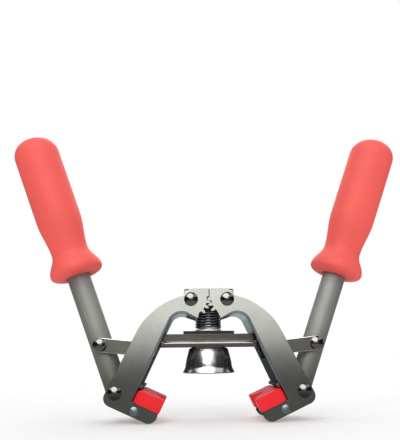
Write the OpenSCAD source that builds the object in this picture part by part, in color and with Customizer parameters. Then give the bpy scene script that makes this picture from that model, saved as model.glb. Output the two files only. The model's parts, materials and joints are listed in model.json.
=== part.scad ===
// Twin-lever crown capper: two geared jaws, two levers, and a sprung crossbar that carries the bell.
// Stored as it stands with the jaws wide open. X runs across the levers, +Y to the back, +Z up.

/* [Stance] */
// Tilt of each jaw leg from upright, as stored
open_angle = 25; // [20:0.5:28]
// Lean of each lever from upright, as stored
lever_lean = 19.1; // [14:0.1:24]
// Slope of the links down towards the crossbar, as stored
link_slope = 6; // [3:0.5:9]

/* [Jaws] */
// Depth of a jaw over its two plates
jaw_depth = 38; // [34:0.5:42]
// Thickness of the jaw sheet
jaw_sheet = 2; // [1.5:0.1:2.4]
// Distance from the pivot line in to the leg's inner edge
leg_inset = 6.85; // [6:0.05:8]
// Depth of the arch's underside below the pivot
arch_drop = 10.8; // [10.4:0.1:12]
// Radius of the arch's inner corner
arch_radius = 8.5; // [7:0.1:10]
// Radius of the round outer shoulder
shoulder_radius = 47.7; // [44:0.1:52]
// Reach of the shoulder's outermost point from the pivot line
shoulder_reach = 24.55; // [22:0.05:26]
// Depth of the shoulder's centre below the pivot
shoulder_drop = 37.8; // [35:0.1:41]
// Height of the flat top above the pivots
top_rise = 7.7; // [7:0.1:8.5]
// Reach of the flat top past the pivot
top_reach = 0.4; // [0:0.1:2]
// Outward place of the lever pivot on the leg
foot_pivot_out = 20.55; // [19:0.05:22]
// Depth of the lever pivot below the jaw pivot
foot_pivot_drop = 79.8; // [75:0.1:86]
// Depth of the sole below the lever pivot
foot_depth = 9.6; // [9:0.1:11]
// Radius of the foot's outer corner
foot_radius = 5.9; // [5:0.1:7]
// Reach of the toe past the pivot line
toe_reach = 12.45; // [11:0.05:14]
// Radius of the toe's lower corner
toe_radius = 6; // [4:0.1:7]
// Height of the toe
toe_height = 9; // [7:0.1:10]
// Length of the lip that is bent in above the pad
lip_length = 2; // [1.5:0.1:3]
// Gap between the lip and the pad
lip_gap = 2.6; // [2.5:0.1:5]

/* [Gear] */
// Teeth on the full pitch circle
gear_teeth = 20; // [20:1:20]
// Tooth module
gear_module = 1.25; // [1.2:0.01:1.3]
// Pressure angle of the teeth
gear_pressure = 20; // [20:1:20]
// Play between the teeth, along the pitch circle
gear_play = 0.36; // [0.3:0.02:0.5]
// Radius of the chin that ends the row of teeth
chin_radius = 14; // [13.9:0.1:15.2]
// Angle of the chin below the line of the pivots
chin_angle = 70.4; // [68:0.1:74]

/* [Levers] */
// Outside diameter of the lever tube
tube_diameter = 16.4; // [15:0.1:18]
// Wall of the lever tube
tube_wall = 1.5; // [1:0.1:2]
// Tube below the lever pivot
tube_tail = 5.4; // [5.2:0.1:6.5]
// Distance from the lever pivot to the link pivot
lever_throw = 34.8; // [33:0.1:36]
// Distance from the lever pivot to the top of the grip
lever_length = 193; // [180:0.5:205]
// Wall of the bush in the lever's foot
bush_wall = 1.3; // [1:0.1:1.5]

/* [Grips] */
// Length of the grip
grip_length = 106; // [95:1:115]
// Widest radius of the grip
grip_radius = 16; // [14:0.1:18]
// Radius of the grip's waist
waist_radius = 13.2; // [12:0.1:15]
// Radius of the grip's finger guard
guard_radius = 18.9; // [17:0.1:21]
// Height of the guard's edge above the grip's lower end
guard_height = 4.4; // [4:0.1:8]
// Height of the waist above the grip's lower end
waist_height = 19.5; // [17:0.5:26]
// Height at which the grip is full again
full_height = 46; // [42:1:58]
// Length of the rounded top of the grip
crown_length = 11.5; // [7:0.5:13]
// Closed top of the grip past the tube's end
grip_cap = 6; // [4:0.5:9]

/* [Links] */
// Thickness of a link
link_sheet = 2; // [1.5:0.1:2.5]
// Width of a link
link_width = 10; // [9:0.1:12]
// Distance between a link's pivots
link_length = 33; // [31:0.1:35]

/* [Crossbar] */
// Sheet of the crossbar
bar_sheet = 1.8; // [1.4:0.1:2.2]
// Drop from the jaw pivots to the crossbar's top
bar_drop = 23.6; // [22.5:0.1:25.5]
// Height of the crossbar's flanges
bar_height = 9.3; // [8.5:0.1:10]
// Length over which the crossbar keeps its full height
bar_full_length = 72; // [64:1:76]
// Radius of the ears that hold the link pins
ear_radius = 6.2; // [5.6:0.1:6.6]
// Play of the link pins in the ears
ear_play = 1.4; // [1.3:0.05:1.6]
// Standing height of the bead along each flange
bead_rise = 0.8; // [0.4:0.1:1]
// Half height of the bead
bead_radius = 2.3; // [1.8:0.1:2.6]
// Height of the bead's centre above the crossbar's lower edge
bead_height = 2.3; // [1.8:0.1:4]
// Length of the spring plate
plate_length = 36; // [30:1:44]
// Thickness of the spring plate
plate_sheet = 2.1; // [1.5:0.1:2.4]

/* [Bell] */
// Radius of the crimping throat
throat_radius = 14.3; // [14.1:0.05:14.5]
// Length of the crimping throat
throat_length = 3; // [2.5:0.1:4]
// Radius of the bell's rim
rim_radius = 18.5; // [17.5:0.1:20]
// Wall of the bell's rim
rim_wall = 1.3; // [1:0.1:1.6]
// Height of the bell
bell_height = 18.4; // [17.5:0.1:20]
// Radius of the bell's side above its flared rim
side_radius = 16.6; // [16:0.1:17]
// Radius of the bell's shoulder
bell_shoulder = 13.4; // [12.8:0.1:14]
// Radius of the bell's neck
neck_radius = 10.3; // [9.5:0.1:11]
// Thickness of the bell's crown
crown_wall = 3.2; // [2.6:0.1:4]

/* [Spring and guide] */
// Outside diameter of the spring
spring_diameter = 18.6; // [17:0.1:19]
// Diameter of the spring's wire
spring_wire = 1.9; // [1.5:0.1:2]
// Turns of the spring
spring_turns = 5; // [4:1:5]
// Radius of the guide rod
rod_radius = 3.5; // [3:0.1:4]
// Rod above the jaw pivots
rod_rise = 4.6; // [4:0.1:6]
// Radius of the bush and of the collar inside the spring
guide_radius = 6.6; // [5.8:0.1:6.8]
// Length of the guide bush below the bridge
bush_drop = 6.5; // [5:0.1:7]
// Height of the collar above its flange
collar_rise = 4; // [3:0.1:4.5]
// Thickness of the collar's flange
collar_flange = 1.2; // [1:0.1:1.4]

/* [Bridge] */
// Sheet of the bridge
bridge_sheet = 2; // [1.6:0.1:2.4]
// Length of the bridge
bridge_length = 34.4; // [33:0.1:36]
// Drop from the jaw pivots to the bridge's underside
bridge_drop = 5.9; // [5.6:0.1:6.4]

/* [Pads] */
// Length of a pad from back to tips
pad_length = 18.8; // [16:0.1:19.5]
// Thickness of a pad
pad_height = 10; // [8.5:0.1:11.5]
// Width of a pad
pad_width = 44; // [40:0.5:48]
// Depth of the notch for the bottle's neck
notch_depth = 9.5; // [7:0.1:11]
// Width of the notch at its mouth
notch_width = 22; // [18:0.5:26]
// Radius of the pad's upper back edge
pad_round = 3; // [1:0.1:4]
// Radius of the pad's back corners
pad_corner = 3; // [1.5:0.1:3.5]

/* [Pins] */
// Radius of the main pins
pin_radius = 3; // [2.5:0.1:3.2]
// Radius of the pins in the crossbar's ears
ear_pin_radius = 2.5; // [2.2:0.1:2.6]
// Radius of the domed heads
head_radius = 4.8; // [4.4:0.1:5.4]
// Height of the domed heads
head_height = 2.5; // [2:0.1:3]
// Radius of the spacer that joins the plates at the toe
spacer_radius = 3.4; // [3:0.1:3.6]
// Height of that spacer above the sole
spacer_height = 3.9; // [3.7:0.1:5]

/* [Fits] */
// Running clearance of a pin in its bore
run_fit = 0.05; // [0.03:0.01:0.08]
// Clearance of a piece that is fixed in its seat
seat_fit = 0.02; // [0.01:0.01:0.03]
// Gap between sheets that slide past each other
sheet_gap = 0.3; // [0.2:0.05:0.4]
// Gap under a head
head_gap = 0.15; // [0.1:0.05:0.3]
// Gap between the flats of the two jaws
seam_gap = 0.4; // [0.3:0.05:0.6]

/* [Hidden] */
$fn = 64;

// Layers from the middle of the tool out to its faces
tube_r = tube_diameter / 2;
link_in = tube_r + sheet_gap;
link_out = link_in + link_sheet;
jaw_out = jaw_depth / 2;
jaw_in = jaw_out - jaw_sheet;
bridge_half = jaw_in - sheet_gap;
bar_half = tube_r;

// Gear circles and tooth angles
pitch_radius = gear_module * gear_teeth / 2;
base_radius = pitch_radius * cos(gear_pressure);
tip_radius = pitch_radius + gear_module;
root_radius = pitch_radius - 1.25 * gear_module;
tooth_step = 360 / gear_teeth;
tooth_half = tooth_step / 4 - gear_play / 4 / pitch_radius * 180 / PI;
teeth_per_jaw = 3;

// Points of the leg, in the jaw's own frame with the leg upright and the pivot at the origin
sole_v = -foot_pivot_drop - foot_depth;
toe_top_v = sole_v + toe_height;
foot_pivot = [-foot_pivot_out, -foot_pivot_drop];
foot_centre = [-foot_pivot_out, sole_v + foot_radius];
shoulder_centre = [shoulder_radius - shoulder_reach, -shoulder_drop];
toe_centre = [toe_reach - toe_radius, sole_v + toe_radius];
arch_centre = [arch_radius - leg_inset, -arch_drop - arch_radius];
pad_bottom_v = toe_top_v + sheet_gap;
pad_top_v = pad_bottom_v + pad_height;
lip_v = pad_top_v + lip_gap;
spacer_at = [-leg_inset / 2, sole_v + spacer_height];
// The pad's tongue stops short of the sweep of the lever's lower end
tongue_length = max(0.5, foot_pivot_out - norm([tube_tail, tube_r]) - leg_inset - sheet_gap);

// A point of the jaw's own frame turned to the stored pose, and back
function stored(p) = [
    p[0] * cos(open_angle) + p[1] * sin(open_angle),
    -p[0] * sin(open_angle) + p[1] * cos(open_angle)
];
function upright(p) = [
    p[0] * cos(open_angle) - p[1] * sin(open_angle),
    p[0] * sin(open_angle) + p[1] * cos(open_angle)
];
function arc(centre, r, from, to, steps) = [
    for (i = [0 : steps]) let (a = from + (to - from) * i / steps) centre + r * [cos(a), sin(a)]
];
function turned(points) = [for (p = points) upright(p)];

// Pivots on the left side, in the stored pose
pivot_z = toe_radius - stored(toe_centre)[1];
jaw_pivot = [-pitch_radius, pivot_z];
lever_pivot = jaw_pivot + stored(foot_pivot);
link_pivot = lever_pivot + lever_throw * [-sin(lever_lean), cos(lever_lean)];
ear_pivot = link_pivot + link_length * [cos(link_slope), -sin(link_slope)];

// Heights along the middle
bar_top = pivot_z - bar_drop;
bar_low = bar_top - bar_height;
plate_top = bar_top + plate_sheet;
collar_seat = plate_top + collar_flange;
bridge_low = pivot_z - bridge_drop;
rim_z = bar_low - bell_height;
throat_low = rim_z + 3.4;

echo(jaw_pivot = jaw_pivot, lever_pivot = lever_pivot, link_pivot = link_pivot, ear_pivot = ear_pivot);

// Shapes shared by several pieces

// A sheet drawn in X and Z, from y up to y + t
module sheet(y, t) {
    translate([0, y + t, 0]) rotate([90, 0, 0]) linear_extrude(t) children();
}

// A round bar along Y between two depths
module bar_y(at, r, from, to) {
    translate([at[0], to, at[1]]) rotate([90, 0, 0]) cylinder(r = r, h = to - from);
}

// A domed head that stands out from y, towards the front or the back
module dome(at, y, r, h, side) {
    ball = (r * r + h * h) / (2 * h);
    translate([at[0], y, at[1]]) rotate([side < 0 ? 90 : -90, 0, 0]) rotate_extrude()
        polygon(concat([[0, 0]], [
            for (i = [0 : 8]) let (a = asin(r / ball) * (1 - i / 8)) [ball * sin(a), h - ball + ball * cos(a)]
        ]));
}

// A pin with a domed head at each end
module headed_pin(at, r, reach) {
    bar_y(at, r, -reach, reach);
    for (side = [-1, 1]) dome(at, side * reach, head_radius, head_height, side);
}

module on_side(right) {
    if (right) mirror([1, 0, 0]) children();
    else children();
}

module in_jaw() {
    translate([jaw_pivot[0], 0, jaw_pivot[1]]) rotate([0, open_angle, 0]) children();
}

module in_lever() {
    translate([lever_pivot[0], 0, lever_pivot[1]]) rotate([0, -lever_lean, 0]) children();
}

// Jaws

function involute(a) = tan(a) * 180 / PI - a;
function flank(side, steps) = [
    for (i = [0 : steps]) let (
        r = base_radius + (tip_radius - base_radius) * i / steps,
        a = side * (tooth_half + involute(gear_pressure) - involute(acos(base_radius / r)))
    ) r * [cos(a), sin(a)]
];

// One tooth that points along +X from the pivot
module tooth() {
    low = flank(-1, 5);
    high = flank(1, 5);
    start = (root_radius - 0.5) / base_radius;
    polygon(concat([start * low[0]], low, [for (i = [5 : -1 : 0]) high[i]], [start * high[0]]));
}

// The outline, from the chin round the arch, the leg, the foot, the shoulder and the flat top to the teeth
function plate_outline(phase) = let (
    away = shoulder_centre - foot_centre,
    edge = atan2(away[1], away[0]) + acos((foot_radius - shoulder_radius) / norm(away)),
    hub = stored(shoulder_centre),
    rise = top_rise + top_reach - hub[1],
    low = (hub[0] - rise + sqrt(pow(rise - hub[0], 2)
        - 2 * (hub[0] * hub[0] + rise * rise - shoulder_radius * shoulder_radius))) / 2,
    top_angle = atan2(low + rise, low - hub[0]) + open_angle,
    seam_x = pitch_radius - seam_gap / 2,
    seam_z = phase > 0 ? 1.7 : 0.7,
    last_gap = -(teeth_per_jaw - 1 + phase) * tooth_step - tooth_step * 5 / 6
) concat(
    turned([chin_radius * [cos(chin_angle), -sin(chin_angle)]]),
    arc(arch_centre, arch_radius, 90, 180, 10),
    [[-leg_inset, toe_top_v], [toe_reach - 1.5, toe_top_v], [toe_reach, toe_top_v - 1.5]],
    arc(toe_centre, toe_radius, 0, -90, 8),
    arc(foot_centre, foot_radius, 270, edge, 12),
    arc(shoulder_centre, shoulder_radius, edge, top_angle, 14),
    turned([
        [-top_reach, top_rise],
        [seam_x, top_rise],
        [seam_x, seam_z],
        [sqrt(root_radius * root_radius - seam_z * seam_z), seam_z]
    ]),
    turned(arc([0, 0], root_radius, -2, last_gap, 14))
);

module jaw_plate(phase) {
    polygon(plate_outline(phase));
    rotate(open_angle) for (i = [0 : teeth_per_jaw - 1]) rotate(-(i + phase) * tooth_step) tooth();
}

// The web along the inner edge, from the arch down to the lip
module jaw_web() {
    polygon(concat(
        arc(arch_centre, arch_radius, 90, 180, 10),
        [
            [-leg_inset, lip_v],
            [-leg_inset + lip_length, lip_v],
            [-leg_inset + lip_length, lip_v - jaw_sheet],
            [-leg_inset - jaw_sheet, lip_v - jaw_sheet]
        ],
        arc(arch_centre, arch_radius + jaw_sheet, 180, 90, 10)
    ));
}

// The way through the web for the crossbar and the links, over their whole travel
module bar_window() {
    deep = leg_inset + jaw_sheet;
    top_v = (-bar_drop - leg_inset * sin(open_angle)) / cos(open_angle) + 1;
    low_v = (ear_pivot[1] - ear_radius - pivot_z - deep * sin(open_angle)) / cos(open_angle) - 0.5;
    half = link_out + 2 * sheet_gap;
    translate([-deep - 1, -half, low_v]) cube([jaw_sheet + 2, 2 * half, top_v - low_v]);
}

module jaw(phase) {
    mid = jaw_in + jaw_sheet / 2;
    in_jaw() difference() {
        union() {
            sheet(-jaw_out, jaw_sheet) jaw_plate(phase);
            sheet(jaw_in, jaw_sheet) jaw_plate(phase);
            sheet(-mid, 2 * mid) jaw_web();
        }
        bar_window();
        bar_y([0, 0], pin_radius + run_fit, -jaw_out - 1, jaw_out + 1);
        bar_y(foot_pivot, pin_radius + seat_fit, -jaw_out - 1, jaw_out + 1);
        bar_y(spacer_at, ear_pin_radius + seat_fit, -jaw_out - 1, jaw_out + 1);
    }
}

module left_jaw() { color("gainsboro") jaw(0.5); }
module right_jaw() { color("gainsboro") on_side(true) jaw(0); }

module lever_pin(right) {
    on_side(right) in_jaw() headed_pin(foot_pivot, pin_radius, jaw_out);
}
module left_lever_pin() { color("silver") lever_pin(false); }
module right_lever_pin() { color("silver") lever_pin(true); }

// The spacer between the plates at the toe, with its ends closed over the plates
module toe_spacer(right) {
    end_rise = 0.8;
    on_side(right) in_jaw() {
        bar_y(spacer_at, spacer_radius, -jaw_in, jaw_in);
        bar_y(spacer_at, ear_pin_radius, -jaw_out, jaw_out);
        for (side = [-1, 1]) dome(spacer_at, side * jaw_out, spacer_radius, end_rise, side);
    }
}
module left_toe_spacer() { color("slategray") toe_spacer(false); }
module right_toe_spacer() { color("slategray") toe_spacer(true); }

// The pad: a block with a notch for the bottle's neck and a tongue between the jaw plates
module pad(right) {
    half = pad_width / 2;
    tip = toe_reach + sheet_gap;
    back = tip - pad_length;
    seat = -leg_inset + seat_fit;
    flat = min(jaw_out, half - pad_corner);
    on_side(right) in_jaw() {
        intersection() {
            translate([0, 0, pad_bottom_v]) linear_extrude(pad_height) polygon(concat(
                [[tip, -half], [tip, -notch_width / 2], [tip - notch_depth, 0]],
                [[tip, notch_width / 2], [tip, half]],
                arc([back + pad_corner, half - pad_corner], pad_corner, 90, 180, 8),
                [[seat, flat], [seat, -flat]],
                arc([back + pad_corner, -half + pad_corner], pad_corner, 180, 270, 8)
            ));
            sheet(-half - 1, pad_width + 2) polygon(concat(
                [[seat, pad_bottom_v - 1], [tip + 1, pad_bottom_v - 1], [tip + 1, pad_top_v]],
                arc([seat + pad_round, pad_top_v - pad_round], pad_round, 90, 180, 6)
            ));
        }
        translate([seat - tongue_length, -jaw_in + seat_fit, pad_bottom_v])
            cube([tongue_length + 1, 2 * (jaw_in - seat_fit), pad_height - pad_round]);
    }
}
module left_pad() { color("red") pad(false); }
module right_pad() { color("red") pad(true); }

// Levers

module lever(right) {
    on_side(right) in_lever() difference() {
        translate([0, 0, -tube_tail]) difference() {
            cylinder(r = tube_r, h = lever_length - grip_cap + tube_tail);
            translate([0, 0, -1]) cylinder(r = tube_r - tube_wall, h = lever_length + tube_tail + 2);
        }
        bar_y([0, 0], pin_radius + bush_wall + seat_fit, -tube_r - 1, tube_r + 1);
        bar_y([0, lever_throw], pin_radius + seat_fit, -tube_r - 1, tube_r + 1);
    }
}
module left_lever() { color("darkgray") lever(false); }
module right_lever() { color("darkgray") lever(true); }

module lever_bush(right) {
    reach = jaw_in - head_gap;
    on_side(right) in_lever() difference() {
        bar_y([0, 0], pin_radius + bush_wall, -reach, reach);
        bar_y([0, 0], pin_radius + run_fit, -reach - 1, reach + 1);
    }
}
module left_lever_bush() { color("silver") lever_bush(false); }
module right_lever_bush() { color("silver") lever_bush(true); }

module link_pin(right) {
    on_side(right) in_lever() headed_pin([0, lever_throw], pin_radius, link_out + head_gap);
}
module left_link_pin() { color("silver") link_pin(false); }
module right_link_pin() { color("silver") link_pin(true); }

// A smooth step from a to b while t goes from 0 to 1
function ease(a, b, t) = a + (b - a) * (1 - cos(180 * t)) / 2;

// The grip's outline as radius and height above its lower end
function grip_outline() = let (
    sleeve = tube_r + seat_fit,
    mouth = (sleeve + guard_radius) / 2 - 2,
    top_start = grip_length - crown_length
) concat(
    [[sleeve, 0]],
    [for (i = [0 : 6]) let (a = 90 * i / 6)
        [mouth + (guard_radius - mouth) * sin(a), guard_height * (1 - cos(a))]],
    [for (i = [1 : 10]) [ease(guard_radius, waist_radius, i / 10),
        guard_height + (waist_height - guard_height) * i / 10]],
    [for (i = [1 : 8]) [ease(waist_radius, grip_radius, i / 8),
        waist_height + (full_height - waist_height) * i / 8]],
    [for (i = [0 : 8]) let (a = 90 * i / 8)
        [grip_radius - crown_length * (1 - cos(a)), top_start + crown_length * sin(a)]],
    [[0, grip_length], [0, grip_length - grip_cap + seat_fit], [sleeve, grip_length - grip_cap + seat_fit]]
);

module grip(right) {
    on_side(right) in_lever() translate([0, 0, lever_length - grip_length])
        rotate_extrude() polygon(grip_outline());
}
module left_grip() { color("salmon") grip(false); }
module right_grip() { color("salmon") grip(true); }

// Links

module link(right, y) {
    on_side(right) translate([link_pivot[0], 0, link_pivot[1]]) rotate([0, link_slope, 0]) difference() {
        union() {
            bar_y([0, 0], link_width / 2, y, y + link_sheet);
            bar_y([link_length, 0], link_width / 2, y, y + link_sheet);
            translate([0, y, -link_width / 2]) cube([link_length, link_sheet, link_width]);
        }
        bar_y([0, 0], pin_radius + run_fit, y - 1, y + link_sheet + 1);
        bar_y([link_length, 0], ear_pin_radius + seat_fit, y - 1, y + link_sheet + 1);
    }
}
module left_front_link() { color("silver") link(false, -link_out); }
module left_rear_link() { color("silver") link(false, link_in); }
module right_front_link() { color("silver") link(true, -link_out); }
module right_rear_link() { color("silver") link(true, link_in); }

module ear_pin(right) {
    on_side(right) bar_y(ear_pivot, ear_pin_radius, -link_out, link_out);
}
module left_ear_pin() { color("gray") ear_pin(false); }
module right_ear_pin() { color("gray") ear_pin(true); }

// Crossbar and bell

// One flange: a straight strip that drops at each end to an ear
module bar_flange() {
    full = bar_full_length / 2;
    reach = -ear_pivot[0];
    ear_low = ear_pivot[1] - ear_radius;
    ear_top = ear_pivot[1] + ear_radius;
    polygon([
        [-full, bar_low], [full, bar_low], [reach, ear_low], [reach, ear_top],
        [full, bar_top], [-full, bar_top], [-reach, ear_top], [-reach, ear_low]
    ]);
    for (side = [-1, 1]) translate([side * reach, ear_pivot[1]]) circle(r = ear_radius);
}

module crossbar() {
    full = bar_full_length / 2;
    bead_length = bar_full_length - 2 * bead_radius;
    bead_y = bar_half + bead_rise - bead_radius;
    color("darkgray") difference() {
        union() {
            sheet(-bar_half, bar_sheet) bar_flange();
            sheet(bar_half - bar_sheet, bar_sheet) bar_flange();
            translate([-full, -bar_half, bar_top - bar_sheet]) cube([2 * full, 2 * bar_half, bar_sheet]);
            for (side = [-1, 1]) intersection() {
                translate([-bead_length / 2, side * bead_y, bar_low + bead_height])
                    rotate([0, 90, 0]) cylinder(r = bead_radius, h = bead_length);
                translate([-full, side > 0 ? bar_half - bar_sheet / 2 : -bar_half - bead_rise, bar_low])
                    cube([2 * full, bar_sheet / 2 + bead_rise, bar_height]);
            }
        }
        translate([0, 0, bar_low]) cylinder(r = rod_radius + seat_fit, h = bar_height + 1);
        for (side = [-1, 1])
            bar_y([side * ear_pivot[0], ear_pivot[1]], ear_pin_radius + ear_play,
                -bar_half - 1, bar_half + 1);
    }
}

module spring_plate() {
    color("dimgray") difference() {
        translate([-plate_length / 2, -bar_half, bar_top]) cube([plate_length, 2 * bar_half, plate_sheet]);
        translate([0, 0, bar_top - 1]) cylinder(r = rod_radius + seat_fit, h = plate_sheet + 2);
    }
}

module spring_collar() {
    color("silver") difference() {
        union() {
            translate([0, 0, plate_top]) cylinder(d = spring_diameter, h = collar_flange);
            translate([0, 0, plate_top]) cylinder(r = guide_radius, h = collar_flange + collar_rise);
        }
        translate([0, 0, plate_top - 1])
            cylinder(r = rod_radius + seat_fit, h = collar_flange + collar_rise + 2);
    }
}

// The rod ties the bell, the crossbar, the plate and the collar together and runs in the bridge's bush
module guide_rod() {
    head_r = 5.5;
    head_h = 2.6;
    under = bar_low - crown_wall;
    color("lightgray") {
        translate([0, 0, under]) cylinder(r = rod_radius, h = pivot_z + rod_rise - under);
        translate([0, 0, under - head_h]) cylinder(r = head_r, h = head_h);
    }
}

// The bell's wall: a boss inside the crossbar, a round shoulder, a flared rim and a straight throat
module bell() {
    boss = bar_half - bar_sheet - sheet_gap;
    boss_top = bar_top - bar_sheet;
    throat_high = throat_low + throat_length;
    ceiling = bar_low - crown_wall;
    shoulder_z = bar_low - 2;
    side_z = rim_z + 4;
    color("white") difference() {
        rotate_extrude() polygon(concat(
            [[0, ceiling], [0, boss_top], [boss, boss_top], [boss, bar_low], [neck_radius, bar_low]],
            [for (i = [1 : 5]) [neck_radius + (bell_shoulder - neck_radius) * sin(18 * i),
                bar_low - (bar_low - shoulder_z) * (1 - cos(18 * i))]],
            [for (i = [1 : 6]) [bell_shoulder + (side_radius - bell_shoulder) * sin(15 * i),
                shoulder_z + (side_z - shoulder_z) * i / 6]],
            [for (i = [1 : 4]) [ease(side_radius, rim_radius, i / 4), side_z - (side_z - rim_z - 1) * i / 4]],
            [[rim_radius, rim_z], [rim_radius - rim_wall, rim_z]],
            [for (i = [1 : 4]) [ease(rim_radius - rim_wall, throat_radius, i / 4),
                rim_z + (throat_low - rim_z) * i / 4]],
            [for (i = [0 : 6]) [throat_radius - (throat_radius - bell_shoulder + 3) * (1 - cos(15 * i)),
                throat_high + (ceiling - throat_high) * sin(15 * i)]]
        ));
        translate([0, 0, ceiling - 1]) cylinder(r = rod_radius + seat_fit, h = boss_top - ceiling + 2);
    }
}

// Bridge, bush and spring

// The bridge: an open channel between the jaw plates that carries both jaw pivots
module top_bridge() {
    half = bridge_length / 2;
    height = bridge_drop + top_rise - 0.2;
    color("dimgray") difference() {
        union() {
            for (y = [-bridge_half, bridge_half - bridge_sheet])
                translate([-half, y, bridge_low]) cube([bridge_length, bridge_sheet, height]);
            translate([-half, -bridge_half, bridge_low]) cube([bridge_length, 2 * bridge_half, bridge_sheet]);
        }
        translate([0, 0, bridge_low - 1]) cylinder(r = guide_radius + seat_fit, h = bridge_sheet + 2);
        for (side = [-1, 1])
            bar_y([side * pitch_radius, pivot_z], pin_radius + seat_fit, -bridge_half - 1, bridge_half + 1);
    }
}

module guide_bush() {
    flange = 1.6;
    color("goldenrod") difference() {
        union() {
            translate([0, 0, bridge_low - bush_drop])
                cylinder(r = guide_radius, h = bush_drop + bridge_sheet + flange);
            translate([0, 0, bridge_low + bridge_sheet]) cylinder(r = guide_radius + 1.5, h = flange);
        }
        translate([0, 0, bridge_low - bush_drop - 1])
            cylinder(r = rod_radius + run_fit, h = bush_drop + bridge_sheet + flange + 2);
    }
}

module top_pin(right) {
    on_side(right) headed_pin(jaw_pivot, pin_radius, jaw_out + head_gap);
}
module left_top_pin() { color("silver") top_pin(false); }
module right_top_pin() { color("silver") top_pin(true); }

// The spring: one wire wound round the guide, six-sided, with eight rings to a turn
wire_r = spring_wire / 2;
coil_r = spring_diameter / 2 - wire_r;
coil_low = collar_seat + sheet_gap + wire_r;
coil_high = bridge_low - sheet_gap - wire_r;
rings_per_turn = 8;
wire_sides = 6;
coil_rings = spring_turns * rings_per_turn;
function coil_ring(i) = let (
    a = 360 * i / rings_per_turn,
    z = coil_low + (coil_high - coil_low) * i / coil_rings
) [for (j = [0 : wire_sides - 1]) let (b = 360 * j / wire_sides, r = coil_r + wire_r * cos(b))
    [r * cos(a), r * sin(a), z + wire_r * sin(b)]];
coil_points = [for (i = [0 : coil_rings]) each coil_ring(i)];
coil_faces = concat(
    [for (j = [1 : wire_sides - 2]) [0, j, j + 1]],
    [for (i = [0 : coil_rings - 1], j = [0 : wire_sides - 1]) let (
        a = i * wire_sides + j,
        b = i * wire_sides + (j + 1) % wire_sides
    ) each [[a, a + wire_sides, b], [b, a + wire_sides, b + wire_sides]]],
    [for (j = [1 : wire_sides - 2]) let (last = coil_rings * wire_sides) [last, last + j + 1, last + j]]
);
coil_gap = min([
    for (i = [0 : coil_rings - rings_per_turn], p = coil_ring(i), q = coil_ring(i + rings_per_turn))
        norm(p - q)
]);
echo(spring_gap = coil_gap);

module return_spring() { color("darkslategray") polyhedron(points = coil_points, faces = coil_faces); }

top_bridge();
guide_bush();
return_spring();
left_top_pin();
right_top_pin();
left_jaw();
left_pad();
left_lever_pin();
left_toe_spacer();
right_jaw();
right_pad();
right_lever_pin();
right_toe_spacer();
left_lever();
left_lever_bush();
left_grip();
left_link_pin();
right_lever();
right_lever_bush();
right_grip();
right_link_pin();
left_front_link();
left_rear_link();
left_ear_pin();
right_front_link();
right_rear_link();
right_ear_pin();
crossbar();
spring_plate();
spring_collar();
guide_rod();
bell();
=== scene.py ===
import bpy
import bmesh
import json
import math
import numpy as np
from mathutils import Euler, Matrix, Vector


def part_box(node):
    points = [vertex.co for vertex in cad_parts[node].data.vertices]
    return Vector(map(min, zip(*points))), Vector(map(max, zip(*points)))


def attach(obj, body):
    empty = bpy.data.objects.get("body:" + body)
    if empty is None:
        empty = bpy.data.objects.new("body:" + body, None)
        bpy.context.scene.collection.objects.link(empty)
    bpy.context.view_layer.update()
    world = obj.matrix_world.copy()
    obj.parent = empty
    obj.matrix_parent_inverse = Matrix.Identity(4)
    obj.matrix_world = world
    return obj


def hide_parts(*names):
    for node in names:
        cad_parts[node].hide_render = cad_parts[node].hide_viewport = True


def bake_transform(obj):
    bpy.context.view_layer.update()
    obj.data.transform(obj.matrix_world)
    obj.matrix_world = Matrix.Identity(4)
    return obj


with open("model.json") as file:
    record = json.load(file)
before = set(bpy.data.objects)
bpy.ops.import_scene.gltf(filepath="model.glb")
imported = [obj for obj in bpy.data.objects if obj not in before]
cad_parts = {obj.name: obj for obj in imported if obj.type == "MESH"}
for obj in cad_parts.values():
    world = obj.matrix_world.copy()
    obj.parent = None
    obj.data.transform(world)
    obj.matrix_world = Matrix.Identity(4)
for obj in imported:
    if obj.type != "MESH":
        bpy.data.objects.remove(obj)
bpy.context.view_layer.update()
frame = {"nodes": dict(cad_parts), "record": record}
nodes = frame["nodes"]
joints = frame["record"]["behaviour"]["joints"]
bodyOf = {node: body for body, names in frame["record"]["behaviour"]["bodies"].items() for node in names}
jointAt = {j["name"]: np.array(j["pos_m"]) for j in joints if "pos_m" in j}
mm = 0.001
sides = ("left", "right")
print("frame loaded:", len(nodes), "nodes")

# camera: an almost level look at the tool from a little to its left, with the view shifted up the frame
cameraView = {"at": (-0.0166, -0.380, 0.0457), "turn": 2.49, "tilt": 5.12, "roll": -0.66, "focalPx": 526.0,
              "framePx": 440, "sensor": 36.0, "shiftAside": -0.018, "shiftUp": 0.2, "clip": (0.01, 50)}


def placeCamera(v):
    data = bpy.data.cameras.new("studioCamera")
    data.sensor_width = v["sensor"]
    data.lens = v["focalPx"] / v["framePx"] * v["sensor"]
    data.shift_x, data.shift_y = v["shiftAside"], v["shiftUp"]
    data.clip_start, data.clip_end = v["clip"]
    cam = bpy.data.objects.new("studioCamera", data)
    bpy.context.collection.objects.link(cam)
    cam.location = v["at"]
    turn, tilt, roll = (math.radians(v[k]) for k in ("turn", "tilt", "roll"))
    aim = Euler((math.pi / 2 + tilt, 0, -turn)).to_matrix()
    cam.rotation_euler = (aim @ Matrix.Rotation(roll, 3, "Z")).to_euler()
    bpy.context.scene.camera = cam


placeCamera(cameraView)
bpy.context.scene.view_settings.view_transform = "Standard"
print("camera placed")


# shader helpers

def newFinish(name):
    mat = bpy.data.materials.new(name)
    mat.use_nodes = True
    tree = mat.node_tree
    return mat, tree, tree.nodes["Principled BSDF"]


def wire(tree, a, b):
    tree.links.new(a, b)


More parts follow.
